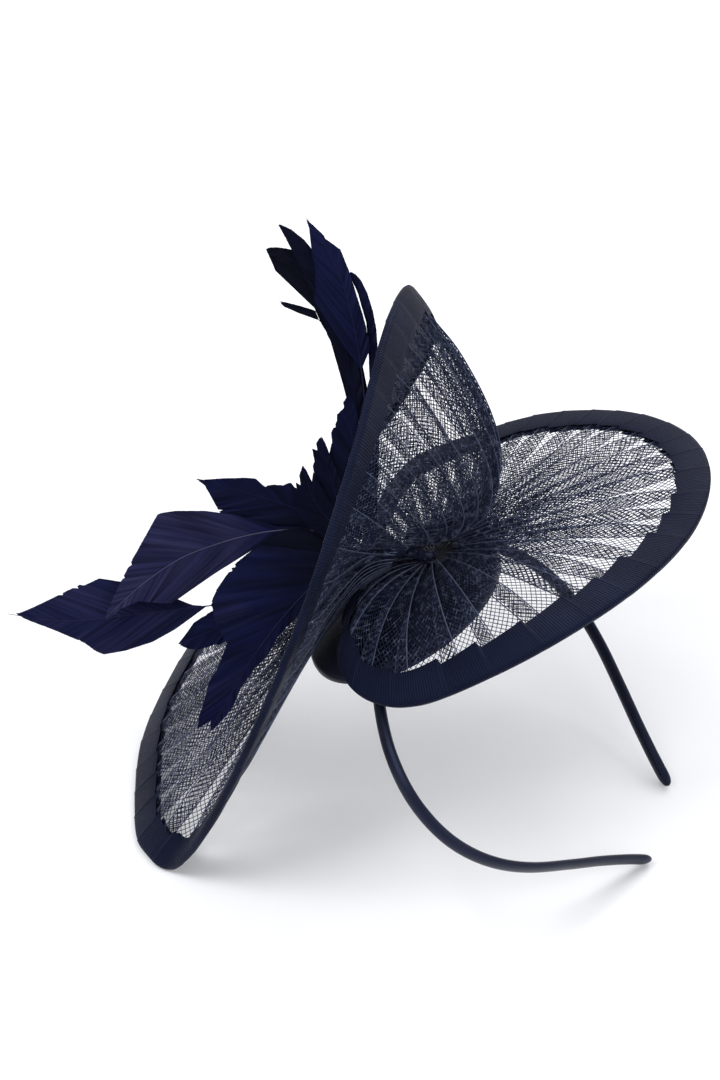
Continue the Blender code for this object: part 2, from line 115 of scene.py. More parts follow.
class Finish:
    """A procedural material, built node by node."""

    def __init__(self, name):
        self.made = bpy.data.materials.new(name)
        self.made.use_nodes = True
        self.tree = self.made.node_tree
        self.shader = self.tree.nodes["Principled BSDF"]
        self.points = self.tree.nodes.new("ShaderNodeTexCoord")

    def node(self, kind, **settings):
        made = self.tree.nodes.new("ShaderNode" + kind)
        for key, value in settings.items():
            setattr(made, key, value)
        return made

    def link(self, source, target):
        self.tree.links.new(source, target)

    def where(self, space, scale=(1, 1, 1)):
        mapping = self.node("Mapping")
        mapping.inputs["Scale"].default_value = scale
        self.link(self.points.outputs[space], mapping.inputs["Vector"])
        return mapping.outputs["Vector"]

    def noise(self, size, detail=3.0, space="Object", scale=(1, 1, 1)):
        made = self.node("TexNoise")
        made.inputs["Scale"].default_value = size
        made.inputs["Detail"].default_value = detail
        self.link(self.where(space, scale), made.inputs["Vector"])
        return made.outputs["Fac"]

    def streaks(self, scale, detail=3.0, space="UV"):
        """Noise drawn out by a different scale along each axis."""
        return self.noise(1, detail, space, scale)

    def wave(self, size, direction, space="UV", distortion=0.0):
        made = self.node("TexWave", wave_type="BANDS", bands_direction=direction)
        made.inputs["Scale"].default_value = size
        made.inputs["Distortion"].default_value = distortion
        self.link(self.where(space), made.inputs["Vector"])
        return made.outputs["Fac"]

    def mark(self, name):
        """The number that each point of the mesh carries under this name."""
        return self.node("Attribute", attribute_name=name).outputs["Fac"]

    def ramp(self, source, *stops):
        made = self.node("ValToRGB")
        while len(made.color_ramp.elements) < len(stops):
            made.color_ramp.elements.new(0.5)
        for element, (place, colour) in zip(made.color_ramp.elements, stops):
            element.position = place
            element.color = (*colour, 1)
        self.link(source, made.inputs["Fac"])
        return made.outputs["Color"]

    def spread(self, source, low, high):
        made = self.node("MapRange")
        made.inputs["To Min"].default_value = low
        made.inputs["To Max"].default_value = high
        self.link(source, made.inputs["Value"])
        return made.outputs["Result"]

    def mix(self, a, b, share, blend="MIX"):
        """Colours a and b; each value may be a socket, and b a plain colour."""
        made = self.node("MixRGB", blend_type=blend)
        for value, socket in ((share, "Fac"), (a, "Color1"), (b, "Color2")):
            if isinstance(value, float):
                made.inputs[socket].default_value = value
            elif isinstance(value, tuple):
                made.inputs[socket].default_value = (*value, 1)
            else:
                self.link(value, made.inputs[socket])
        return made.outputs["Color"]

    def shaded(self, colour, by, dark, light, share=0.8):
        """The colour multiplied by a ramp between a dark and a light stop."""
        return self.mix(colour, self.ramp(by, dark, light), share, "MULTIPLY")

    def bumps(self, *layers):
        """Layers of (height, depth in metres, strength), one on another."""
        last = None
        for source, depth, strength in layers:
            made = self.node("Bump")
            made.inputs["Distance"].default_value = depth
            made.inputs["Strength"].default_value = strength
            self.link(source, made.inputs["Height"])
            if last:
                self.link(last, made.inputs["Normal"])
            last = made.outputs["Normal"]
        self.link(last, self.shader.inputs["Normal"])

    def use(self, colour, roughness, **fixed):
        self.link(colour, self.shader.inputs["Base Color"])
        self.link(roughness, self.shader.inputs["Roughness"])
        self.shader.inputs["Specular Tint"].default_value = NAVY_GLOSS
        for key, value in fixed.items():
            self.shader.inputs[key.replace("_", " ")].default_value = value
        return self.made


def ribbon_finish():
    f = Finish("ribbon")
    ribs = f.wave(310, "X")
    cloud, fine = f.noise(60, 4), f.noise(900, 2)
    colour = f.ramp(cloud, (0.3, (0.0026, 0.0036, 0.0110)), (0.7, (0.0055, 0.0074, 0.0200)))
    colour = f.shaded(colour, ribs, (0.0, (0.55, 0.55, 0.6)), (0.6, (1.25, 1.25, 1.3)))
    f.bumps((ribs, 0.00022, 0.6), (fine, 0.0001, 0.4))
    return f.use(colour, f.spread(fine, 0.42, 0.62), Sheen_Roughness=SOFT_SHEEN, **MATT)


def net_finish():
    f = Finish("net")
    glint, cloud = f.noise(520, 2), f.noise(45, 3)
    colour = f.ramp(
        glint,
        (0.36, (0.0045, 0.0060, 0.0150)),
        (0.52, (0.0170, 0.0220, 0.0460)),
        (0.70, (0.1200, 0.1400, 0.2100)),
    )
    colour = f.mix(colour, (0.020, 0.026, 0.055), f.spread(cloud, 0.0, 0.5))
    # The threads along the creases catch more light.
    colour = f.mix(colour, (0.090, 0.105, 0.165), f.spread(f.mark("fold"), 0.0, 0.6))
    f.bumps((glint, 0.00005, 0.5))
    return f.use(colour, f.spread(glint, 0.35, 0.55), Sheen_Roughness=SOFT_SHEEN, **MATT)


def satin_finish():
    f = Finish("satin")
    streak, cloud = f.streaks((90, 2500, 1)), f.noise(70, 3)
    weave = f.wave(1500, "Y")
    colour = f.ramp(streak, (0.3, (0.0010, 0.0012, 0.0034)), (0.7, (0.0024, 0.0030, 0.0075)))
    colour = f.mix(colour, (0.009, 0.010, 0.024), f.spread(cloud, 0.0, 0.45))
    f.bumps((cloud, 0.0003, 0.35), (weave, 0.00004, 0.5))
    rough = f.spread(streak, 0.24, 0.40)
    return f.use(colour, rough, Sheen_Weight=0.01, Anisotropic=0.5, Specular_IOR_Level=0.32)


def felt_finish():
    f = Finish("felt")
    fuzz, cloud = f.noise(1400, 5), f.noise(90, 3)
    colour = f.ramp(fuzz, (0.3, (0.0012, 0.0014, 0.003)), (0.75, (0.0060, 0.0064, 0.010)))
    f.bumps((fuzz, 0.0003, 0.7), (cloud, 0.0004, 0.3))
    return f.use(colour, f.spread(fuzz, 0.85, 1.0), Sheen_Roughness=0.6, **MATT)


def buckram_finish():
    f = Finish("buckram")
    warp, weft = f.wave(180, "X", "Object"), f.wave(180, "Y", "Object")
    weave = f.mix(warp, weft, 1.0, "MULTIPLY")
    colour = f.ramp(weave, (0.1, (0.006, 0.007, 0.012)), (0.7, (0.035, 0.038, 0.055)))
    f.bumps((weave, 0.0003, 0.8), (f.noise(500, 3), 0.0001, 0.5))
    return f.use(colour, f.spread(weave, 0.95, 0.75))


def thread_finish():
    f = Finish("thread")
    twist = f.wave(700, "DIAGONAL", "Object", 1.5)
    fuzz = f.noise(2500, 3)
    colour = f.ramp(twist, (0.1, (0.004, 0.005, 0.014)), (0.8, (0.022, 0.026, 0.060)))
    f.bumps((twist, 0.00015, 0.8), (fuzz, 0.00005, 0.5))
    return f.use(colour, f.spread(fuzz, 0.5, 0.75), **MATT)


def feather_finish():
    f = Finish("feather")
    stripe, streak = f.streaks((2600, 60, 1)), f.streaks((330, 22, 1))
    # The tint mark holds each feather's own colour, darkened towards the root as painted shade.
    colour = f.ramp(
        f.mark("tint"),
        (0.0, (0.0008, 0.0008, 0.0022)),
        (0.4, (0.0028, 0.0034, 0.0225)),
        (0.8, (0.0150, 0.0145, 0.0430)),
        (1.0, (0.0600, 0.0600, 0.1050)),
    )
    colour = f.shaded(colour, stripe, (0.25, (0.55, 0.55, 0.6)), (0.75, (1.5, 1.5, 1.45)))
    colour = f.shaded(colour, f.noise(55), (0.3, (0.75, 0.75, 0.8)), (0.7, (1.25, 1.25, 1.2)))
    colour = f.shaded(colour, streak, (0.36, (0.30, 0.30, 0.34)), (0.60, (1.35, 1.35, 1.3)), 0.75)
    f.bumps((stripe, 0.00006, 0.5), (f.noise(1800, 2), 0.00003, 0.3))
    return f.use(colour, f.spread(stripe, 0.45, 0.65), Sheen_Roughness=SOFT_SHEEN, **MATT)


def steel_finish():
    f = Finish("spring_steel")
    brushed = f.streaks((200, 3000, 200), 4, "Object")
    colour = f.ramp(brushed, (0.3, (0.30, 0.31, 0.33)), (0.7, (0.55, 0.56, 0.58)))
    f.bumps((brushed, 0.00003, 0.4))
    return f.use(colour, f.spread(brushed, 0.25, 0.45), Metallic=1.0)


def floor_finish():
    f = Finish("floor")
    grain = f.noise(9, 4)
    colour = f.ramp(grain, (0.3, (0.84, 0.845, 0.855)), (0.7, (0.87, 0.875, 0.88)))
    f.bumps((f.noise(400, 2), 0.0001, 0.1))
    return f.use(colour, f.spread(grain, 0.7, 0.8))


FINISHES = {
    "ribbon": ribbon_finish(),
    "net": net_finish(),
    "satin": satin_finish(),
    "felt": felt_finish(),
    "buckram": buckram_finish(),
    "thread": thread_finish(),
    "feather": feather_finish(),
    "spring_steel": steel_finish(),
}


# ------------------------------------------------------------------ mesh making
def make_piece(name, slot, points, faces, uv=None, body="headpiece"):
    """One visible piece.  uv is per point, in metres of cloth.  A piece with no
    body is left for a blend between two."""
    mesh = bpy.data.meshes.new(name)
    count, size = faces.shape
    mesh.vertices.add(len(points))
    mesh.vertices.foreach_set("co", points.astype(np.float32).ravel())
    mesh.loops.add(count * size)
    mesh.loops.foreach_set("vertex_index", faces.astype(np.int32).ravel())
    mesh.polygons.add(count)
    mesh.polygons.foreach_set("loop_start", np.arange(0, count * size, size, dtype=np.int32))
    mesh.polygons.foreach_set("use_smooth", np.full(count, True))
    mesh.update(calc_edges=True)
    if uv is not None:
        layer = mesh.uv_layers.new(name="cloth")
        layer.data.foreach_set("uv", np.asarray(uv, np.float32)[faces.ravel()].ravel())
    mesh.validate()
    mesh.materials.append(FINISHES[slot])
    piece = new_object(name, mesh)
    if body:
        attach(piece, body)
    return piece


def mark(piece, name, values):
    """A number on each point, for the material."""
    layer = piece.data.attributes.new(name, "FLOAT", "POINT")
    layer.data.foreach_set("value", np.asarray(values, np.float32))


def unit(vectors):
    return vectors / np.maximum(np.linalg.norm(vectors, axis=-1, keepdims=True), 1e-12)


def euler_turn(*degrees):
    return np.array(Euler(np.radians(degrees)).to_matrix())


def turn_y(angle):
    c, s = np.cos(angle), np.sin(angle)
    return np.array(((c, 0, s), (0, 1, 0), (-s, 0, c)))


def crossways(axis):
    """Two directions square to axis."""
    first = unit(np.cross(axis, (0, 1, 0)))
    return first, unit(np.cross(axis, first))


def curve_between(before, start, end, after, steps):
    """Points from each start to its end, on the smooth curve through all stops."""
    mix = (np.arange(steps) / steps)[None, :, None]
    square = 2 * before - 5 * start + 4 * end - after
    cube = 3 * start - before - 3 * end + after
    return 0.5 * (2 * start + (end - before) * mix + square * mix**2 + cube * mix**3)


def distances(line):
    """How far along a line each of its points is."""
    return np.r_[0, np.cumsum(np.linalg.norm(np.diff(line, axis=0), axis=1))]


def at_distances(line, run, wanted):
    return np.stack([np.interp(wanted, run, row) for row in line.T], -1)


def closed_line(stops, count):
    """Evenly spaced points along the closed smooth curve through stops, and its
    length."""
    stops = np.array(stops)
    fine = curve_between(*(np.roll(stops, 1 - k, 0)[:, None] for k in range(4)), steps=80)
    fine = fine.reshape(-1, 3)
    fine = np.vstack((fine, fine[:1]))
    run = distances(fine)
    return at_distances(fine, run, run[-1] * np.arange(count) / count), run[-1]


def open_line(stops, spacing):
    """Points spacing apart along a smooth line through stops."""
    stops = np.vstack((2 * stops[0] - stops[1], stops, 2 * stops[-1] - stops[-2]))
    last = len(stops) - 3
    fine = curve_between(*(stops[k : last + k, None] for k in range(4)), steps=40)
    fine = np.vstack((fine.reshape(-1, stops.shape[1]), stops[-2:-1]))
    run = distances(fine)
    return at_distances(fine, run, np.arange(0, run[-1], spacing))


def grid_faces(rows, columns, kept_rows=None):
    """Quads of a rows x columns grid of points; kept_rows masks rows of quads."""
    index = np.arange(rows * columns).reshape(rows, columns)
    quads = np.stack((index[:-1, :-1], index[1:, :-1], index[1:, 1:], index[:-1, 1:]), -1)
    return (quads if kept_rows is None else quads[kept_rows]).reshape(-1, 4)


def tubes(lines, normals, radius, good=None, sides=3):
    """Round threads along lines[k, j]; good masks which points exist."""
    count, steps = lines.shape[:2]
    good = np.ones((count, steps), bool) if good is None else good
    tangent = unit(np.gradient(lines, axis=1))
    side = unit(np.cross(tangent, normals))
    up = np.cross(side, tangent)
    radius = np.broadcast_to(np.asarray(radius, float), (count, steps))[..., None, None]
    angle = 2 * np.pi * np.arange(sides) / sides
    ring = np.cos(angle)[:, None] * side[:, :, None] + np.sin(angle)[:, None] * up[:, :, None]
    points = lines[:, :, None] + radius * ring
    index = np.arange(count * steps * sides).reshape(count, steps, sides)
    both = good[:, :-1] & good[:, 1:]
    a, b = index[:, :-1][both], index[:, 1:][both]
    faces = np.stack((a, b, np.roll(b, -1, 1), np.roll(a, -1, 1)), -1).reshape(-1, 4)
    used, faces = np.unique(faces, return_inverse=True)
    return points.reshape(-1, 3)[used], faces.reshape(-1, 4)


def grid_piece(name, slot, points, u, v, body="headpiece"):
    """A piece from a grid of points; u and v are their places on the cloth."""
    uv = np.stack(np.broadcast_arrays(u, v), -1).reshape(-1, 2)
    return make_piece(name, slot, points.reshape(-1, 3), grid_faces(*points.shape[:2]), uv, body)


def merged(parts):
    """Several (points, faces) as one."""
    starts = np.cumsum([0] + [len(points) for points, _ in parts])
    faces = [faces + start for (_, faces), start in zip(parts, starts)]
    return np.vstack([points for points, _ in parts]), np.vstack(faces)


# -------------------------------------------------------------- pleated discs
# The shape of a disc, measured from the crown.
# rim: stops along the rim.  turn: the disc's own axes, in degrees.
# Each spoke leaves the hub's circle, bends past two middles that lie reach of
# the way out, and ends on the rim.  reach_swing: how much reach grows on the
# side that belly_towards faces, in degrees round the disc.  belly: how far the
# middles stand off the flat, with belly_swing added on that side and the whole
# kept between belly_limits.  middle_shares: the share of the belly that the
# middle by the hub and the one by the rim have.  squeeze: the share of their
# distance towards the camera that these two lose.  hub_height_kept: whether the
# middles stay level with the hub, or follow the rim's own height by reach.
# near_pleats_wider: how much wider than the mean the nearest pleats are.
CROWN = np.array((0.0131, -0.0185, 0.0776))
TO_CAMERA = np.array((0.212, -0.791, 0.574))
LOW_DISC = {
    "rim": (
        (0.0345, -0.0526, 0.0089), (0.0625, -0.0413, 0.0246), (0.0877, -0.0110, 0.0326),
        (0.1010, 0.0250, 0.0345), (0.1015, 0.0600, 0.0348), (0.0895, 0.0905, 0.0303),
        (0.0655, 0.1095, 0.0242), (0.0335, 0.1160, 0.0148), (0.0060, 0.1075, 0.0060),
        (-0.0140, 0.0907, 0.0014), (-0.0205, 0.0640, -0.0030), (-0.0195, 0.0335, -0.0050),
        (-0.0150, 0.0012, 0.0000), (-0.0100, -0.0220, 0.0034), (-0.0065, -0.0395, 0.0052),
        (-0.0010, -0.0480, 0.0020), (0.0080, -0.0520, 0.0000), (0.0195, -0.0535, 0.0015),
    ),
    "turn": (0, -27, 0),
    "hub": (0.0119, 0.0154, 0.0139),
    "hub_radius": 0.0070,
    "hub_height_kept": False,
    "reach": 0.60,
    "reach_swing": 0.0,
    "belly": 0.0070,
    "belly_swing": 0.0086,
    "belly_towards": -72,
    "belly_limits": (-0.020, 0.020),
    "middle_shares": (1.0, 1.0),
    "squeeze": (0.0, 0.0),
    "pleats": 34,
    "near_pleats_wider": 0.30,
}
TALL_DISC = {
    "rim": (
        (-0.0066, 0.0447, 0.1025), (-0.0053, 0.0204, 0.1051), (-0.0044, -0.0011, 0.0995),
        (-0.0043, -0.0218, 0.0867), (-0.0070, -0.0404, 0.0672), (-0.0117, -0.0564, 0.0434),
        (-0.0196, -0.0679, 0.0165), (-0.0293, -0.0743, -0.0113), (-0.0400, -0.0758, -0.0386),
        (-0.0506, -0.0738, -0.0610), (-0.0606, -0.0697, -0.0755), (-0.0700, -0.0642, -0.0766),
        (-0.0790, -0.0515, -0.0766), (-0.0909, -0.0132, -0.0757), (-0.0931, 0.0166, -0.0734),
        (-0.0868, 0.0453, -0.0622), (-0.0734, 0.0663, -0.0452), (-0.0559, 0.0797, -0.0227),
        (-0.0390, 0.0880, 0.0007), (-0.0251, 0.0900, 0.0264), (-0.0156, 0.0865, 0.0512),
        (-0.0102, 0.0762, 0.0741), (-0.0076, 0.0606, 0.0918),
    ),
    "turn": (-30.2, -60.7, 41.4),
    "hub": (0.0016, 0.0073, 0.0210),
    "hub_radius": 0.0050,
    "hub_height_kept": True,
    "reach": 0.46,
    "reach_swing": 0.14,
    "belly": 0.0,
    "belly_swing": -0.052,
    "belly_towards": 19,
    "belly_limits": (-0.048, 0.018),
    "middle_shares": (1.45, 0.60),
    "squeeze": (0.30, 1.0),
    "pleats": 44,
    "near_pleats_wider": 0.05,
}
MESH_STEP = 0.00175
THREAD_RADIUS = 0.000150
THREAD_UNEVENNESS = 0.12
CREASE_THREAD_RADIUS = 1.5 * THREAD_RADIUS
THREAD_POINT_STEP = 0.00165
NET_INSET = 0.0032
NET_END = 0.97
CREASE_RUN = np.linspace(0.04, 0.985, 64)
WIRE_INSET = 0.0019
WIRE_RADIUS = 0.00045

# Cloth in a pleat for each width of it, how far forward the cloth runs before
# it doubles back, in widths, and the share of the cloth that this takes.
FULLNESS = 1.72
PLEAT_AHEAD = (FULLNESS + 1) / 2
PLEAT_TURN = PLEAT_AHEAD / FULLNESS


class Disc:
    """The smooth middle surface of one disc, and how its pleats lie on it.
    w runs 0..1 round the rim and v runs 0..1 from the rim in to the hub."""

    COLUMNS, ROWS = 720, 48
    SPOKE_POINTS = 97
    FOOT_RELEASE = 0.55
    PLEAT_UNEVENNESS, HEIGHT_UNEVENNESS = 0.14, 0.25
    PLEAT_LOW, PLEAT_RISE = 0.00035, 0.0013
    RISE_FROM, RISE_OVER = 0.010, 0.018

    def __init__(self, shape):
        rim, self.perimeter = closed_line(shape["rim"], self.COLUMNS)
        away = rim - np.array(shape["hub"])
        turn = euler_turn(*shape["turn"])
        spokes = self.spokes(shape, rim, away, turn)
        runs = [distances(spoke) for spoke in spokes]
        self.lengths = np.array([run[-1] for run in runs])
        even = [np.linspace(0, run[-1], self.ROWS) for run in runs]
        self.grid = np.array([at_distances(*spoke) for spoke in zip(spokes, runs, even)]) + CROWN
        around = np.roll(self.grid, -1, 0) - np.roll(self.grid, 1, 0)
        normals = unit(np.cross(around, np.gradient(self.grid, axis=1)))
        self.normals = normals if (normals @ turn[:, 2]).sum() > 0 else -normals
        self.cloth = self.perimeter * FULLNESS
        self.count = shape["pleats"]
        self.edges = self.pleat_edges(away @ TO_CAMERA, shape["near_pleats_wider"])
        self.height = 1 + self.HEIGHT_UNEVENNESS * RANDOM.uniform(-1, 1, self.count)

    def spokes(self, shape, rim, away, turn):
        """A line from each point of the rim in to the hub."""
        x_axis, y_axis, inward = turn.T
        hub = np.array(shape["hub"])
        depth = away @ inward
        flat = away - depth[:, None] * inward
        heading = unit(flat)
        towards = np.radians(shape["belly_towards"])
        lean = heading @ x_axis * np.cos(towards) + heading @ y_axis * np.sin(towards)
        reach = shape["reach"] + shape["reach_swing"] * lean
        belly = np.clip(shape["belly"] + shape["belly_swing"] * lean, *shape["belly_limits"])
        settled = 0.0 if shape["hub_height_kept"] else depth * reach
        middles = [
            hub + flat * reach[:, None] + (belly * share + settled)[:, None] * inward
            for share in shape["middle_shares"]
        ]
        aside = (away @ TO_CAMERA)[:, None] * TO_CAMERA
        by_hub, by_rim = shape["squeeze"]
        foot = np.clip(-away[:, 2:] / away[:, 2].max(), 0, 1)
        by_rim = by_rim * (1 - self.FOOT_RELEASE * foot)
        start = hub + heading * shape["hub_radius"]
        second = start + (middles[0] - by_hub * aside - start) * 2 / 3
        third = rim + (middles[1] - by_rim * aside - rim) * 2 / 3
        u = (1 - np.linspace(0, 1, self.SPOKE_POINTS))[None, :, None]
        inner = start[:, None] * (1 - u) ** 3 + second[:, None] * 3 * u * (1 - u) ** 2
        return inner + third[:, None] * 3 * u**2 * (1 - u) + rim[:, None] * u**3

    def pleat_edges(self, nearness, near_pleats_wider):
        """Where each pleat starts round the rim: uneven shares of it."""
        nearness = nearness / np.abs(nearness).max()
        crowd = np.r_[0, np.cumsum(1 / (1 + near_pleats_wider * nearness))]
        share = 1 + self.PLEAT_UNEVENNESS * RANDOM.uniform(-1, 1, self.count)
        even = np.r_[0, np.cumsum(share / share.sum())]
        return np.interp(even, crowd / crowd[-1], np.linspace(0, 1, self.COLUMNS + 1))

    def sample(self, field, w, v):
        """Bilinear look-up; w wraps round."""
        x = np.mod(w, 1) * self.COLUMNS
        y = np.clip(v, 0, 1) * (self.ROWS - 1)
        i, j = np.floor(x).astype(int), np.minimum(np.floor(y).astype(int), self.ROWS - 2)
        fx, fy = (x - i)[..., None], (y - j)[..., None]
        i, k = i % self.COLUMNS, (i + 1) % self.COLUMNS
        low = field[i, j] * (1 - fx) + field[k, j] * fx
        high = field[i, j + 1] * (1 - fx) + field[k, j + 1] * fx
        return low * (1 - fy) + high * fy

    def length(self, w):
        return np.interp(np.mod(w, 1) * self.COLUMNS, np.arange(self.COLUMNS), self.lengths)

    def pleat_at(self, w):
        """The number of the pleat at w, and the share of its width passed."""
        number = np.clip(np.searchsorted(self.edges, w, "right") - 1, 0, self.count - 1)
        return number, (w - self.edges[number]) / (self.edges[number + 1] - self.edges[number])

    def fold(self, pleat, part, v, length):
        """A point of pleat number pleat at a share of its cloth, at v on a spoke
        of this length, and the surface's normal.  The cloth runs forward,
        doubles back under itself, and comes out at the start of the next pleat."""
        start, width = self.edges[pleat], self.edges[pleat + 1] - self.edges[pleat]
        forward, back = part / PLEAT_TURN, (part - PLEAT_TURN) / (1 - PLEAT_TURN)
        first = part < PLEAT_TURN
        across = np.where(first, forward * PLEAT_AHEAD, PLEAT_AHEAD - back * (PLEAT_AHEAD - 1))
        tilt = np.where(first, 2 * forward - 1, 1 - 2 * back)
        w = start + width * across
        normal = self.sample(self.normals, w, v)
        rise = np.clip((v * length - self.RISE_FROM) / self.RISE_OVER, 0, 1)
        stand = self.PLEAT_LOW + self.PLEAT_RISE * rise * rise * (3 - 2 * rise)
        stand = stand * self.height[pleat] * tilt
        return self.sample(self.grid, w, v) + normal * stand[..., None], normal

    def cloth_point(self, q, t):
        """The point at q metres along the rim edge of the cloth and t in from it,
        with the surface's normal and v."""
        share = np.mod(q / self.cloth, 1)
        pleat, part = self.pleat_at(share)
        length = self.length(share)
        v = t / length
        return *self.fold(pleat, np.clip(part, 0, 1), np.clip(v, 0, 0.995), length), v


def net_threads(disc, start, end):
    """The diamond mesh between two shares of the cloth, as thread tubes, and
    which of its points belong to a crease."""
    count = int(round(disc.cloth / (MESH_STEP * np.sqrt(2))))
    across = disc.cloth / count
    t = np.arange(NET_INSET, disc.lengths.max(), THREAD_POINT_STEP)
    parts = []
    for sign in (1, -1):
        q = np.arange(count)[:, None] * across + sign * t[None, :]
        share = np.mod(q / disc.cloth, 1)
        point, normal, v = disc.cloth_point(q, np.broadcast_to(t, q.shape))
        good = (v < NET_END) & (share >= start) & (share < end)
        wobble = 1 + THREAD_UNEVENNESS * RANDOM.standard_normal(q.shape)
        parts.append(tubes(point, normal, THREAD_RADIUS * wobble, good))
    # A thread along each crease, where the mesh doubles back on itself.
    pleats = np.array([k for k in range(disc.count) if start <= disc.edges[k] < end])[:, None]
    v = CREASE_RUN[None, :] * np.ones((len(pleats), 1))
    length = disc.length(disc.edges[pleats] * np.ones_like(v))
    for crease in (0.0, PLEAT_TURN):
        point, normal = disc.fold(pleats, crease * np.ones_like(v), v, length)
        parts.append(tubes(point, normal, CREASE_THREAD_RADIUS))
    on_crease = [np.full(len(points), float(k > 1)) for k, (points, _) in enumerate(parts)]
    return *merged(parts), np.concatenate(on_crease)


BINDING_WIDTH = 0.0124
BINDING_HALF_DEPTH = 0.0013
BINDING_SWAY = 0.002
# The ribbon across its width: each face as shares of it from the rim, and the
# fold round the rim as (share, side) from one face to the other.
RIBBON_FACE = np.linspace(1, 0, 15)
RIBBON_FOLD = [(-0.012, 0.7), (-0.022, 0.25), (-0.022, -0.25), (-0.012, -0.7)]
RIBBON_PROFILE = [
    *((share, 1) for share in RIBBON_FACE[:-1]),
    *RIBBON_FOLD,
    *((share, -1) for share in RIBBON_FACE[::-1][1:]),
]
SAW_TOP = 0.94
SAW_LIFT = 0.00045
SAW_BASE = -0.0001
RIDGE_HEIGHT = 0.00035
RIDGE_AT, RIDGE_SPREAD = 0.95, 0.035
RIBBON_PUFF = 0.00025
EDGE_TAPER, TAPER_FROM = 0.12, 0.86


def ribbon_border(disc, name, steps, replaced):
    """The folded ribbon over the rim, and how wide it is laid flat.  It is
    pleated with the net, so each pleat's ribbon steps over the next one's."""
    columns = 4 * disc.COLUMNS // 3 + 1
    w = np.linspace(0, 1, columns)
    pleat, part = disc.pleat_at(w)
    saw = np.where(part < SAW_TOP, part / SAW_TOP, (1 - part) / (1 - SAW_TOP))
    width = BINDING_WIDTH + steps * (saw - 0.5) + BINDING_SWAY * (disc.height[pleat] - 1)
    lift = SAW_LIFT * saw**2 + SAW_BASE
    ridge = RIDGE_HEIGHT * np.exp(-(((part - RIDGE_AT) / RIDGE_SPREAD) ** 2))
    length = disc.length(w)
    outward = unit(disc.grid[:, 0] - disc.grid[:, 1])
    out = disc.sample(np.repeat(outward[:, None], disc.ROWS, 1), w, np.zeros_like(w))
    points = np.zeros((columns, len(RIBBON_PROFILE), 3))
    for j, (share, side) in enumerate(RIBBON_PROFILE):
        inward = share * width
        taper = 1 - EDGE_TAPER * np.clip((share - TAPER_FROM) / (1 - TAPER_FROM), 0, 1)
        puff = RIBBON_PUFF * np.sin(np.pi * max(share, 0))
        height = (BINDING_HALF_DEPTH * taper + puff) * side
        height = height + (lift + ridge * (side > 0)) * (0.4 + 0.6 * max(share, 0))
        v = np.maximum(inward, 0) / length
        base, normal = disc.sample(disc.grid, w, v), disc.sample(disc.normals, w, v)
        points[:, j] = base + normal * height[:, None] + out * np.maximum(-inward, 0)[:, None]
    across = np.linalg.norm(np.diff(points, axis=1), axis=2).mean(0)
    run = np.r_[0, np.cumsum(across)]
    piece = grid_piece(name, "ribbon", points, w[:, None] * disc.perimeter, run)
    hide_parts(replaced)
    return piece, run[-1]


def rim_wire(disc, name, replaced):
    """The wire in the ribbon's fold."""
    w = np.linspace(0, 1, disc.COLUMNS + 1)
    inset = WIRE_INSET / disc.length(w)
    ring, facing = disc.sample(disc.grid, w, inset), disc.sample(disc.normals, w, inset)
    wire = make_piece(name, "spring_steel", *tubes(ring[None], facing[None], WIRE_RADIUS, sides=8))
    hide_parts(replaced)


for name, disc, steps, halves in (
    ("low_disc", Disc(LOW_DISC), 0.0022, (("mesh", 0.0, 1.0),)),
    ("tall_disc", Disc(TALL_DISC), 0.0020, (("mesh_near", 0.0, 0.5), ("mesh_far", 0.5, 1.0))),
):
    border, width = ribbon_border(disc, name + "_ribbon", steps, name + "_binding")
    rim_wire(disc, name + "_wire", name + "_edge_wire")
    for half, start, end in halves:
        points, faces, on_crease = net_threads(disc, start, end)
        piece = make_piece(name + "_" + half, "net", points, faces)
        mark(piece, "fold", on_crease)
        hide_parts(name + "_net")

# ------------------------------------------------------------------- headband
BAND_HALF_LENGTH = 0.199
BAND_RADII = (0.0915, 0.121, 0.0307, 0.372, -0.121)
BAND_WIDTH = 0.0047
BAND_THICKNESS = 0.0028
BAND_LEAN = np.radians(-53)
BAND_STEPS = 800
SATIN_GAP = 0.0001
SATIN_ROUND = 0.0122
# The rings of the satin lie closer together at the tip.
SATIN_RINGS = np.r_[np.linspace(0.0002, 0.192, 150), np.linspace(0.1925, BAND_HALF_LENGTH, 14)]
SATIN_RING_POINTS = 37
SATIN_TIP_FROM = 0.1935
SATIN_TIP_BLUNTNESS = 2.4
SATIN_TIP_SIZE = 0.06
SATIN_SEAM = np.radians(2)
SECTION_POWER = 0.9
WRINKLE_DEPTH, WRINKLE_LENGTH, WRINKLE_DRIFT = 0.018, 0.0041, 0.013


def band_frame(wanted, side):
    """Centre, tangent, outward and width directions along one half."""
    stops = np.arange(len(BAND_RADII))
    middles = (np.arange(BAND_STEPS) + 0.5) / BAND_STEPS * stops[-1]
    bend = np.interp(middles, stops, [1 / radius for radius in BAND_RADII])
    step = BAND_HALF_LENGTH / BAND_STEPS
    angle = np.r_[0, np.cumsum(bend * step)]
    middle = (angle[1:] + angle[:-1]) / 2
    y = np.r_[0, np.cumsum(np.cos(middle) * step)]
    z = -np.r_[0, np.cumsum(np.sin(middle) * step)]
    at = np.linspace(0, BAND_HALF_LENGTH, BAND_STEPS + 1)
    y, z, angle = (np.interp(wanted, at, row) for row in (y, z, angle))
    zero = np.zeros_like(y)
    turn = turn_y(BAND_LEAN).T
    centre = np.stack((zero, side * y, z), -1) @ turn + CROWN
    outward = np.stack((zero, side * np.sin(angle), np.cos(angle)), -1) @ turn
    across = np.broadcast_to(np.array((1.0, 0, 0)) @ turn, centre.shape)
    return centre, outward, across


def flattened(wave):
    """A sine or cosine squared off, for the band's oval section."""
    return np.sign(wave) * np.abs(wave) ** SECTION_POWER


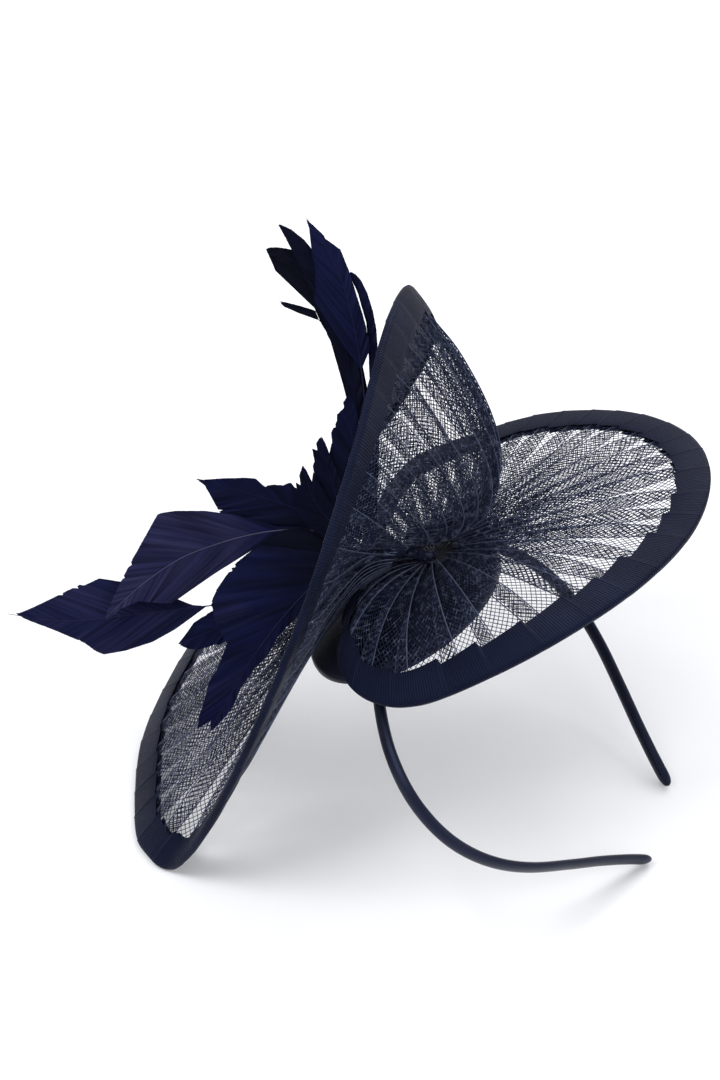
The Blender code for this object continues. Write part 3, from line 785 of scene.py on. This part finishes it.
def satin_strip(name, side, nodes):
    """One strip of satin wrapped round half the band, its edges meeting in a
    seam on the inner face, and gathered to a blunt tip."""
    along = SATIN_RINGS
    centre, outward, across = band_frame(along, side)
    tip = np.clip((along - SATIN_TIP_FROM) / (BAND_HALF_LENGTH - SATIN_TIP_FROM), 0, 1)
    size = np.sqrt(1 - tip**SATIN_TIP_BLUNTNESS) * (1 - SATIN_TIP_SIZE) + SATIN_TIP_SIZE
    angle = 1.5 * np.pi + np.linspace(SATIN_SEAM, 2 * np.pi - SATIN_SEAM, SATIN_RING_POINTS)
    ripple = np.sin(along / WRINKLE_LENGTH + 1.3 * np.sin(along / WRINKLE_DRIFT))
    size = size[:, None] * (1 + WRINKLE_DEPTH * ripple[:, None] * np.sin(angle))
    wide = (BAND_WIDTH / 2 + SATIN_GAP) * flattened(np.cos(angle)) * size
    high = (BAND_THICKNESS / 2 + SATIN_GAP) * flattened(np.sin(angle)) * size
    points = centre[:, None] + across[:, None] * wide[..., None] + outward[:, None] * high[..., None]
    around = np.linspace(0, SATIN_ROUND, SATIN_RING_POINTS)
    piece = grid_piece(name, "satin", points, along[:, None], around, body=None)
    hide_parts(*nodes)
    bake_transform(piece)


LEFT_SATIN = ("satin_wrap_left_arm", "tip_cap_left", "satin_wrap_crown")
RIGHT_SATIN = ("satin_wrap_right_arm", "tip_cap_right")
satin_strip("satin_strip_left", 1, LEFT_SATIN)
satin_strip("satin_strip_right", -1, RIGHT_SATIN)

# ----------------------------------------------------------------------- base
BASE_LEAN = np.radians(-27)
BASE_CENTRE = np.array((0.005, 0.003))
BASE_RADII = np.array((0.035, 0.042))
BASE_DROP = 0.005
BASE_FLAT_SHARE = 0.4
DOME_SIDES = 96
SATIN_TOP = 0.0052
FELT_TOP = 0.0022


def dome_sheet(name, slot, shares, heights, node):
    """Cloth over the oval dome: rings at shares of its radii, at heights over
    its foot."""
    angle = 2 * np.pi * np.arange(DOME_SIDES + 1) / DOME_SIDES
    shares, heights = np.array(shares)[:, None], np.array(heights)[:, None]
    drop = BASE_DROP * np.clip((shares - BASE_FLAT_SHARE) / (1 - BASE_FLAT_SHARE), 0, None) ** 2
    x = BASE_CENTRE[0] + BASE_RADII[0] * shares * np.cos(angle)
    y = BASE_CENTRE[1] + BASE_RADII[1] * shares * np.sin(angle)
    points = np.stack(np.broadcast_arrays(x, y, heights - drop), -1) @ turn_y(BASE_LEAN).T + CROWN
    piece = grid_piece(name, slot, points, x, y)
    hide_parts(node)


# The satin turns down over the rim; the felt turns up a little at it.
SATIN_EDGE = ((1.015, -0.0002), (1.025, -0.0008), (1.03, -0.0018), (1.028, -0.0030))
satin_shares = [*np.linspace(0.01, 1.0, 22), *(share for share, _ in SATIN_EDGE)]
satin_heights = [SATIN_TOP] * 22 + [SATIN_TOP + lower for _, lower in SATIN_EDGE]
felt_heights = [FELT_TOP] * 20 + [FELT_TOP + 0.0001, FELT_TOP + 0.0006]
dome_sheet("base_satin", "satin", satin_shares, satin_heights, "base_cover")
dome_sheet("base_felt", "felt", np.linspace(0.01, 0.99, 22), felt_heights, "base_lining")

# ------------------------------------------------------------- gather and tie
POST_FOOT = np.array((0.0113, 0.0144, 0.0136)) + CROWN
POST_HEAD = np.array((0.0045, 0.0094, 0.0188)) + CROWN
POST_MIDDLE = (POST_FOOT + POST_HEAD) / 2
POST_AXIS = unit(POST_HEAD - POST_FOOT)
POST_RADIUS = 0.0026
POST_WAIST, POST_FLARE, POST_OVERRUN = 0.62, 1.38, 0.12
POST_THREADS, POST_POINTS = 72, 15
POST_THREAD = 0.00016
POST_SWAY = 0.35
TIE_HALF_LENGTH = 0.0011
TIE_TURNS = 4.5
TIE_RADIUS = 0.0021
TIE_THREAD = 0.00026
TURN_POINTS = 20


def winding(start, end, turns, radii, thread):
    """Thread wound round the line from start to end, between two radii."""
    first, second = crossways(unit(end - start))
    step = np.linspace(0, 1, int(turns * TURN_POINTS) + 1)[:, None]
    angle = 2 * np.pi * turns * step
    around = np.cos(angle) * first + np.sin(angle) * second
    radius = radii[0] + (radii[1] - radii[0]) * step
    line = start + (end - start) * step + around * radius
    return tubes(line[None], around[None], thread, sides=6)


def gathered_net():
    """Threads of both nets drawn together into the post that is sewn."""
    first, second = crossways(POST_AXIS)
    angle = 2 * np.pi * np.arange(POST_THREADS)[:, None] / POST_THREADS
    step = np.linspace(-POST_OVERRUN, 1 + POST_OVERRUN, POST_POINTS)[None, :]
    layer = RANDOM.uniform(0.72, 1.0, (POST_THREADS, 1))
    radius = POST_RADIUS * layer * (POST_WAIST + POST_FLARE * (step - 0.5) ** 2)
    angle = angle + POST_SWAY * np.sin(step * 3 + RANDOM.uniform(0, 6, (POST_THREADS, 1)))
    around = np.cos(angle)[..., None] * first + np.sin(angle)[..., None] * second
    line = POST_FOOT + (POST_HEAD - POST_FOOT) * step[..., None] + around * radius[..., None]
    return tubes(line, around, POST_THREAD, sides=4)


post = make_piece("gathered_net", "net", *gathered_net())
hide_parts("gather_post")
tie_reach = POST_AXIS * TIE_HALF_LENGTH
tie_ends = (POST_MIDDLE - tie_reach, POST_MIDDLE + tie_reach)
tie = winding(*tie_ends, TIE_TURNS, (TIE_RADIUS, TIE_RADIUS), TIE_THREAD)
tie = make_piece("tied_thread", "thread", *tie)
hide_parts("gather_tie")

# ---------------------------------------------------------------- feather spray
SPRAY_ROOT = np.array((-0.0060, 0.0020, 0.0214)) + CROWN
SPRAY_TURN = euler_turn(-35, 0, 15)
# Shaft and outline of each vane in the spray's plane, in millimetres right and
# up from the root.  tint runs from black at 0 to dusty navy at 1, and layer
# from the nearest feather at 0 to the farthest at 7.
FEATHERS = {
    "feather_top_long": {"layer": 3, "tint": 0.55, "shaft": (
        (0.0, 0.0), (-1.4, 29.8), (-3.1, 54.0), (-5.9, 74.8), (-10.4, 92.1), (-16.6, 105.9), (-23.2, 115.6),
    ), "outline": (
        (-23.4, 115.8), (-22.5, 114.6), (-19.0, 111.2), (-17.1, 109.5), (-16.5, 108.2), (-11.3, 104.5),
        (-8.4, 97.3), (-7.3, 93.8), (-5.9, 89.3), (-3.8, 82.7), (-1.9, 75.8), (-0.3, 66.1), (0.3, 54.0),
        (0.7, 29.8), (0.7, 3.8), (-1.0, 3.8), (-2.1, 29.8), (-3.1, 54.0), (-3.9, 62.3), (-9.0, 69.3),
        (-13.2, 73.2), (-18.2, 77.0), (-18.6, 79.0), (-18.4, 80.5), (-19.4, 82.9), (-20.4, 86.7),
        (-20.0, 93.7), (-20.1, 98.3), (-21.5, 106.0), (-22.1, 111.8),
    )},
    "feather_top_left": {"layer": 5, "tint": 0.12, "shaft": (
        (0.0, 0.0), (-3.5, 33.2), (-9.0, 67.8), (-16.6, 92.1), (-24.9, 105.9), (-32.9, 114.2),
    ), "outline": (
        (-33.3, 114.5), (-28.3, 112.2), (-24.0, 108.7), (-19.4, 103.1), (-13.2, 92.1), (-6.2, 71.3),
        (-0.7, 36.7), (0.3, 3.8), (-1.0, 3.8), (-4.8, 36.7), (-11.4, 64.4), (-20.1, 88.6), (-24.9, 98.3),
        (-28.9, 106.4), (-31.0, 110.3),
    )},
    "feather_top_black": {"layer": 7, "tint": 0.00, "shaft": (
        (0.0, 0.0), (-2.1, 29.8), (-6.2, 57.5), (-12.5, 78.2), (-19.4, 92.8), (-25.6, 100.2), (-33.3, 105.2),
        (-37.7, 106.6),
    ), "outline": (
        (-37.8, 106.6), (-33.7, 106.9), (-29.1, 106.2), (-25.6, 105.5), (-21.1, 103.8), (-13.2, 95.5),
        (-6.2, 78.2), (-1.4, 54.0), (0.7, 29.8), (0.7, 3.8), (-1.0, 3.8), (-3.5, 29.8), (-9.0, 57.5),
        (-14.5, 73.0), (-18.6, 81.0), (-20.6, 85.6), (-25.6, 87.1), (-30.6, 88.5), (-31.3, 89.3),
        (-32.9, 95.2), (-35.2, 101.0), (-37.4, 105.9),
    )},
    "feather_top_spike": {"layer": 6, "tint": 0.00, "shaft": (
        (0.0, 0.0), (-2.8, 29.8), (-9.0, 59.2), (-16.6, 78.2), (-25.6, 84.8), (-32.9, 87.4),
    ), "outline": (
        (-32.9, 87.5), (-31.0, 87.3), (-25.6, 85.9), (-20.6, 84.4), (-15.9, 81.0), (-9.0, 64.4),
        (-2.1, 33.2), (0.3, 3.8), (-1.0, 3.8), (-4.2, 33.2), (-10.4, 58.1), (-15.2, 74.8), (-18.6, 80.7),
        (-25.6, 83.2), (-31.0, 85.6),
    )},
    "feather_top_right": {"layer": 4, "tint": 0.45, "shaft": (
        (0.0, 0.0), (0.3, 29.8), (0.0, 54.0), (-1.0, 74.8), (-3.5, 88.6), (-8.0, 96.9),
    ), "outline": (
        (-9.0, 97.8), (-6.2, 96.4), (-4.3, 94.4), (-2.0, 89.8), (-0.1, 83.6), (1.1, 77.4), (2.1, 64.4),
        (2.1, 36.7), (1.0, 3.8), (-0.7, 3.8), (-0.3, 29.8), (-1.0, 54.0), (-1.7, 71.3), (-2.4, 79.6),
        (-3.8, 84.4), (-5.5, 90.2), (-6.0, 91.4), (-7.3, 94.1),
    )},
    "feather_hackle_high": {"layer": 2, "tint": 0.40, "shaft": (
        (0.0, 0.0), (-4.2, 19.4), (-7.3, 40.1), (-8.3, 54.0),
    ), "outline": (
        (-8.3, 54.5), (-10.4, 51.6), (-10.0, 49.8), (-12.5, 47.4), (-12.5, 45.3), (-14.5, 41.2),
        (-14.2, 38.1), (-15.6, 31.8), (-15.2, 27.0), (-16.3, 19.4), (-15.2, 9.0), (-9.7, 2.8), (-0.7, 2.1),
        (-1.4, 19.4), (-3.5, 40.1), (-6.2, 49.8),
    )},
    "feather_hackle_middle": {"layer": 1, "tint": 0.35, "shaft": (
        (0.0, 0.0), (-9.7, 12.5), (-14.9, 26.3), (-18.0, 40.1),
    ), "outline": (
        (-17.9, 40.1), (-19.6, 37.4), (-19.2, 35.0), (-21.0, 35.6), (-20.2, 31.1), (-20.8, 29.8),
        (-19.7, 23.5), (-20.8, 19.4), (-18.0, 11.8), (-9.7, 3.8), (-2.8, 1.0), (-5.5, 12.5), (-11.1, 24.6),
        (-14.5, 32.5), (-16.6, 37.7),
    )},
    "feather_hackle_low": {"layer": 0, "tint": 0.35, "shaft": (
        (0.0, 0.0), (-11.4, 7.3), (-20.1, 17.7), (-24.2, 30.1),
    ), "outline": (
        (-24.2, 30.1), (-25.4, 26.3), (-24.9, 22.8), (-27.0, 26.0), (-26.3, 21.8), (-29.1, 25.6),
        (-27.7, 20.8), (-28.0, 17.3), (-23.5, 9.7), (-13.2, 2.1), (-4.5, 0.0), (-9.0, 9.0), (-15.2, 17.7),
        (-19.4, 24.9), (-21.1, 28.4), (-21.1, 24.2), (-22.8, 27.7),
    )},
    "feather_side_upper": {"layer": 5, "tint": 0.42, "shaft": (
        (0.0, 0.0), (-16.6, 10.0), (-32.2, 17.0), (-47.8, 21.5), (-61.6, 25.3),
    ), "outline": (
        (-61.8, 25.6), (-59.2, 25.1), (-51.9, 25.6), (-44.3, 25.8), (-40.5, 25.5), (-37.9, 22.9),
        (-34.3, 23.4), (-31.2, 23.1), (-28.6, 24.2), (-25.6, 20.4), (-16.6, 14.2), (-4.5, 2.8), (-6.2, -2.1),
        (-20.1, 1.4), (-30.5, 4.5), (-40.1, 9.0), (-47.8, 11.4), (-53.3, 13.8), (-56.1, 19.0), (-58.5, 23.2),
    )},
    "feather_side_broad": {"layer": 4, "tint": 1.00, "shaft": (
        (0.0, 3.8), (-16.6, 6.9), (-31.1, 7.6), (-44.6, 5.5), (-58.1, 1.4), (-68.5, -3.2), (-81.0, -12.0),
        (-92.8, -22.8),
    ), "outline": (
        (-93.1, -22.8), (-89.8, -15.2), (-87.3, -10.0), (-84.1, -3.7), (-78.9, 5.6), (-74.8, 13.0),
        (-73.7, 13.5), (-68.6, 14.3), (-58.2, 14.3), (-47.8, 12.9), (-39.5, 10.8), (-31.2, 8.1),
        (-30.8, 7.1), (-39.5, 2.2), (-43.6, -1.0), (-47.8, -5.2), (-52.6, -10.4), (-57.6, -16.3),
        (-61.6, -16.7), (-64.4, -17.4), (-72.7, -17.8), (-81.3, -17.0), (-87.6, -19.7), (-92.1, -23.5),
    )},
    "feather_side_long": {"layer": 6, "tint": 0.72, "shaft": (
        (0.0, 0.0), (-23.5, -11.1), (-37.4, -15.2), (-54.0, -18.3), (-68.5, -19.9), (-84.1, -21.9),
        (-99.7, -23.7), (-113.2, -23.8), (-128.1, -21.6),
    ), "outline": (
        (-128.2, -21.5), (-123.6, -21.4), (-120.4, -20.1), (-114.2, -17.2), (-104.9, -12.6), (-101.8, -11.2),
        (-101.1, -11.8), (-95.6, -9.2), (-87.8, -10.4), (-75.4, -13.5), (-63.0, -18.5), (-56.1, -18.9),
        (-55.7, -19.7), (-60.6, -22.5), (-66.5, -25.6), (-76.8, -31.3), (-86.2, -34.4), (-94.1, -35.8),
        (-96.9, -34.6), (-100.7, -31.8), (-110.1, -27.8), (-120.4, -23.9), (-124.6, -22.0),
    )},
    "feather_side_short": {"layer": 7, "tint": 0.55, "shaft": (
        (0.0, 0.0), (-23.5, -11.1), (-40.8, -19.4), (-55.4, -27.0), (-67.8, -32.4),
    ), "outline": (
        (-68.2, -32.3), (-65.4, -28.7), (-62.6, -24.7), (-57.8, -21.5), (-53.0, -19.0), (-46.0, -16.3),
        (-37.4, -11.8), (-27.0, -5.5), (-11.4, 0.0), (-9.7, -3.5), (-27.0, -17.0), (-40.1, -26.3),
        (-49.7, -30.9), (-51.1, -31.0), (-53.9, -32.4), (-55.7, -32.3), (-57.8, -33.2), (-61.4, -34.1),
        (-64.2, -33.9), (-67.2, -32.7),
    )},
    "feather_low_broad": {"layer": 2, "tint": 0.62, "shaft": (
        (0.0, 0.0), (-16.6, -8.3), (-28.4, -19.4), (-40.1, -34.3), (-48.5, -48.1), (-56.1, -61.3),
    ), "outline": (
        (-56.2, -61.7), (-55.9, -58.0), (-60.6, -60.9), (-59.8, -55.7), (-58.0, -50.5), (-56.6, -45.0),
        (-53.5, -39.5), (-51.5, -34.6), (-50.2, -31.1), (-51.9, -29.1), (-54.7, -22.8), (-55.7, -17.7),
        (-52.6, -11.1), (-47.1, -4.5), (-40.1, 1.7), (-31.1, 7.6), (-11.4, 9.0), (-2.1, 0.0), (-9.7, -6.6),
        (-16.6, -12.5), (-27.0, -22.8), (-32.9, -29.1), (-36.8, -36.0), (-40.7, -39.8), (-45.9, -47.1),
        (-47.5, -51.6), (-50.7, -56.5), (-53.9, -59.9),
    )},
    "feather_low_broad_upper": {"layer": 3, "tint": 0.14, "replaced": "feather_low_broad", "shaft": (
        (0.0, 0.0), (-16.6, -3.5), (-30.5, -8.3), (-42.6, -12.5), (-55.4, -17.3),
    ), "outline": (
        (-56.1, -17.7), (-54.0, -12.8), (-50.9, -8.3), (-47.4, -3.8), (-40.1, 2.1), (-31.1, 7.6),
        (-20.1, 9.0), (-9.7, 6.2), (-0.7, 0.7), (-6.2, -5.5), (-16.6, -12.5), (-27.0, -19.4), (-35.6, -27.0),
        (-46.0, -30.8), (-50.5, -29.1), (-54.0, -22.8),
    )},
}
MIDDLE_LAYER = 3.5
LAYER_STEP = 0.0010
LAYER_FAN = 0.020
SHAFT_STEP = 0.00042
SHAFT_RADIUS = 0.00034
SHAFT_TAPER = 0.72
SHAFT_LIGHTER = 0.16
BARB_POINTS = 12
BARB_REACH = np.linspace(0, 0.066, 440)
BARB_LEAN = 0.60
BARB_LEAN_LESS = 0.16
BARB_BEND = 2.2
BARB_PITCH = 0.0004
SHORTEST_BARB = 0.0006
CLUMP = 12
CLUMP_LEAN = 0.015
SPLIT_DEPTH = (0.02, 0.06)
VANE_CURL = {-1: 2.24, 1: 3.2}
VANE_DROP = 0.00006
RIPPLE_HEIGHT, RIPPLE_RATE = 0.00022, 160
COMB_HEIGHT = 0.00005
# How far out from the root the painted shade on the vanes reaches.
PAINTED_ROOT_SHADE_REACH = 0.050
VANE_TINT = 0.8
WRAP_GAP = 0.0018
WRAP_TURNS = 13
WRAP_RADII = (0.0019, 0.0032)
WRAP_THREAD = 0.0004


def spray_place(x, depth, z):
    local = np.stack(np.broadcast_arrays(x, depth, z), -1)
    return SPRAY_ROOT + local @ SPRAY_TURN.T


def in_layer(flat, layer, lift):
    """The place of points in the spray's plane, on their layer of the fan."""
    reach = np.linalg.norm(flat, axis=-1)
    depth = (layer - MIDDLE_LAYER) * (LAYER_STEP + LAYER_FAN * reach)
    return spray_place(flat[..., 0], depth + lift, flat[..., 1])


def inside(points, outline):
    """Which points lie inside a closed outline."""
    x, y = points[..., 0], points[..., 1]
    hit = np.zeros(x.shape, bool)
    for (x1, y1), (x2, y2) in zip(outline, np.roll(outline, -1, 0)):
        crosses = (y1 > y) != (y2 > y)
        hit ^= crosses & (x < (x2 - x1) * (y - y1) / (y2 - y1 + 1e-12) + x1)
    return hit


def vane(side, layer, tint, shaft, outline):
    """The curved web on one side of the shaft: barbs from the shaft out to the
    outline, joined into one surface, with two shallow splits.  Gives points,
    faces, the tint of each point, darkened towards the root as painted shade,
    and its number along the shaft and distance out along its barb, as cloth."""
    count = len(shaft)
    number = np.arange(count)
    heading = unit(np.gradient(shaft, axis=0))
    square = np.stack((-heading[:, 1], heading[:, 0]), -1)
    knots = np.arange(0, count + 2 * CLUMP, CLUMP)
    clump = np.interp(number, knots, RANDOM.uniform(-1, 1, len(knots)))
    lean = BARB_LEAN - BARB_LEAN_LESS * np.linspace(0, 1, count) + CLUMP_LEAN * clump
    way = heading * np.cos(lean)[:, None] + side * square * np.sin(lean)[:, None]

    def along_barbs(run):
        straight = shaft[:, None] + way[:, None] * run[..., None]
        return straight + BARB_BEND * heading[:, None] * (run**2)[..., None]

    probe = along_barbs(np.broadcast_to(BARB_REACH, (count, len(BARB_REACH))))
    length = np.logical_and.accumulate(inside(probe, outline), axis=1).sum(1) * BARB_REACH[1]
    for split in RANDOM.integers(count // 5, count, 2):
        near = np.clip(1 - np.abs(number - split) / 3, 0, 1)
        length = length * (1 - RANDOM.uniform(*SPLIT_DEPTH) * near)
    step = np.linspace(0, 1, BARB_POINTS)
    run = length[:, None] * step
    flat = along_barbs(run)
    curl = VANE_CURL[side] * (np.sin(lean)[:, None] * run) ** 2
    ripple = RIPPLE_HEIGHT * np.sin(clump[:, None] * 5 + run * RIPPLE_RATE) * step
    comb = np.where(number % 2, COMB_HEIGHT, -COMB_HEIGHT)[:, None] * np.sqrt(step)
    points = in_layer(flat, layer, curl + ripple + comb - VANE_DROP)
    good = length > SHORTEST_BARB
    faces = grid_faces(count, BARB_POINTS, good[:-1] & good[1:])
    kept, faces = np.unique(faces, return_inverse=True)
    # Painted shade: the vanes darken to black towards the root, where they lie in shadow.
    painted_root_shade = np.clip(np.linalg.norm(flat, axis=-1) / PAINTED_ROOT_SHADE_REACH, 0.0, 1.0) ** 1.5
    shade = VANE_TINT * tint * painted_root_shade * (0.88 + 0.14 * clump[:, None])
    cloth = np.stack(np.broadcast_arrays(number[:, None] * BARB_PITCH, run), -1)
    part = points.reshape(-1, 3)[kept], faces.reshape(-1, 4)
    return part, shade.reshape(-1)[kept], cloth.reshape(-1, 2)[kept]


def feather(name, layer, tint, shaft, outline, replaced=None):
    """A shaft between two vanes."""
    shaft = open_line(np.array(shaft) / 1000, SHAFT_STEP)
    outline = np.array(outline) / 1000
    line = in_layer(shaft[None], layer, -0.0001)
    facing = np.broadcast_to(spray_place(0.0, 1.0, 0.0) - SPRAY_ROOT, line.shape)
    radius = SHAFT_RADIUS * (1 - SHAFT_TAPER * np.linspace(0, 1, len(shaft))[None])
    tube = tubes(line, facing, radius, sides=6)
    shaft_tint = min(1.0, VANE_TINT * tint + SHAFT_LIGHTER)
    pieces = [vane(side, layer, tint, shaft, outline) for side in (-1, 1)]
    pieces.append((tube, np.full(len(tube[0]), shaft_tint), np.zeros((len(tube[0]), 2))))
    parts, tints, cloth = zip(*pieces)
    points, faces = merged(parts)
    piece = make_piece(name + "_barbs", "feather", points, faces, np.vstack(cloth))
    mark(piece, "tint", np.concatenate(tints))
    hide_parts(replaced or name)


for name, shape in FEATHERS.items():
    feather(name, **shape)

wrap_ends = (POST_HEAD + POST_AXIS * WRAP_GAP, spray_place(0.0022, 0.0, 0.0))
wrap = winding(*wrap_ends, WRAP_TURNS, WRAP_RADII, WRAP_THREAD)
wrap = make_piece("feather_binding", "thread", *wrap)
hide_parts("feather_wrap")

# ------------------------------------------------- CAD nodes that stay as they are
for slot, names in {
    "buckram": ["base_disc"],
    "thread": [name for name in NODES if name.startswith("stitch_")],
    "spring_steel": [name for name in NODES if name.startswith("headband_core_")],
}.items():
    for name in names:
        NODES[name].data.materials.clear()
        NODES[name].data.materials.append(FINISHES[slot])

# ------------------------------------------------------------------------ floor
FLOOR_HALF = 40
FLOOR_TOP = -0.0002
corners = [(x * FLOOR_HALF, y * FLOOR_HALF, FLOOR_TOP) for x, y in ((-1, -1), (1, -1), (1, 1), (-1, 1))]
mesh = bpy.data.meshes.new("floor")
mesh.from_pydata(corners, [], [(0, 1, 2, 3)])
mesh.materials.append(floor_finish())
floor = new_object("floor", mesh)
